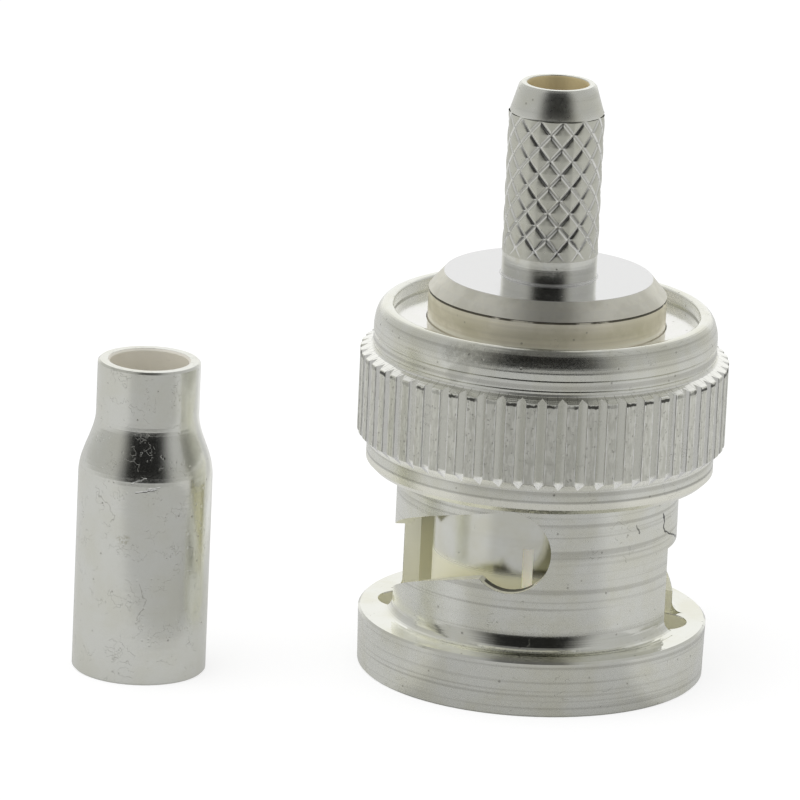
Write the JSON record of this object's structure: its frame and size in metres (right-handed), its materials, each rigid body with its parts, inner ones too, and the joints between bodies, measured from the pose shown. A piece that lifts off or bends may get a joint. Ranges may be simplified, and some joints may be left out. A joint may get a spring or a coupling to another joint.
{
  "type": "bnc connector",
  "caption": "Crimp-type BNC plug with a knurled bayonet coupling nut, spring-finger contact, diamond-knurled crimp barrel and a loose crimp ferrule.",
  "frame": {"origin": "on the connector's axis, at the front (mating) face of the coupling nut, which is also the surface that it stands on", "axes": "+Z along the axis from the mating end to the cable end; -Y faces the side with the first locking hole; +X completes the right-handed frame"},
  "size_m": [0.0253, 0.0144, 0.0238],
  "materials": {
    "nickel_plate": "satin nickel plate over brass",
    "bright_nickel": "bright nickel plate over brass",
    "spring_bronze": "plated spring bronze",
    "ptfe": "matt white",
    "silicone": "matt red-brown",
    "gold_plate": "gold plate"
  },
  "bodies": {
    "plug": {"plug_body": "bright_nickel", "gasket": "silicone", "outer_contact": "bright_nickel", "insulator": "ptfe", "centre_contact": "gold_plate", "crimp_fitting": "nickel_plate", "crimp_ferrule": "nickel_plate"},
    "springs": {"wave_washer_front": "spring_bronze", "wave_washer_rear": "spring_bronze"},
    "nut": {"coupling_nut": "nickel_plate", "retaining_washer": "bright_nickel"}
  },
  "joints": [
    {"name": "nut_pull", "type": "slide", "parent": "plug", "child": "springs", "axis": [0, 0, -1], "range_m": [0, 0.0008], "stiffness_N_per_m": 2000, "springref_m": -0.002, "deforming": ["wave_washer_front", "wave_washer_rear"]},
    {"name": "nut_turn", "type": "hinge", "parent": "springs", "child": "nut", "pos_m": [0, 0, 0], "axis": [0, 0, 1], "continuous": true}
  ]
}
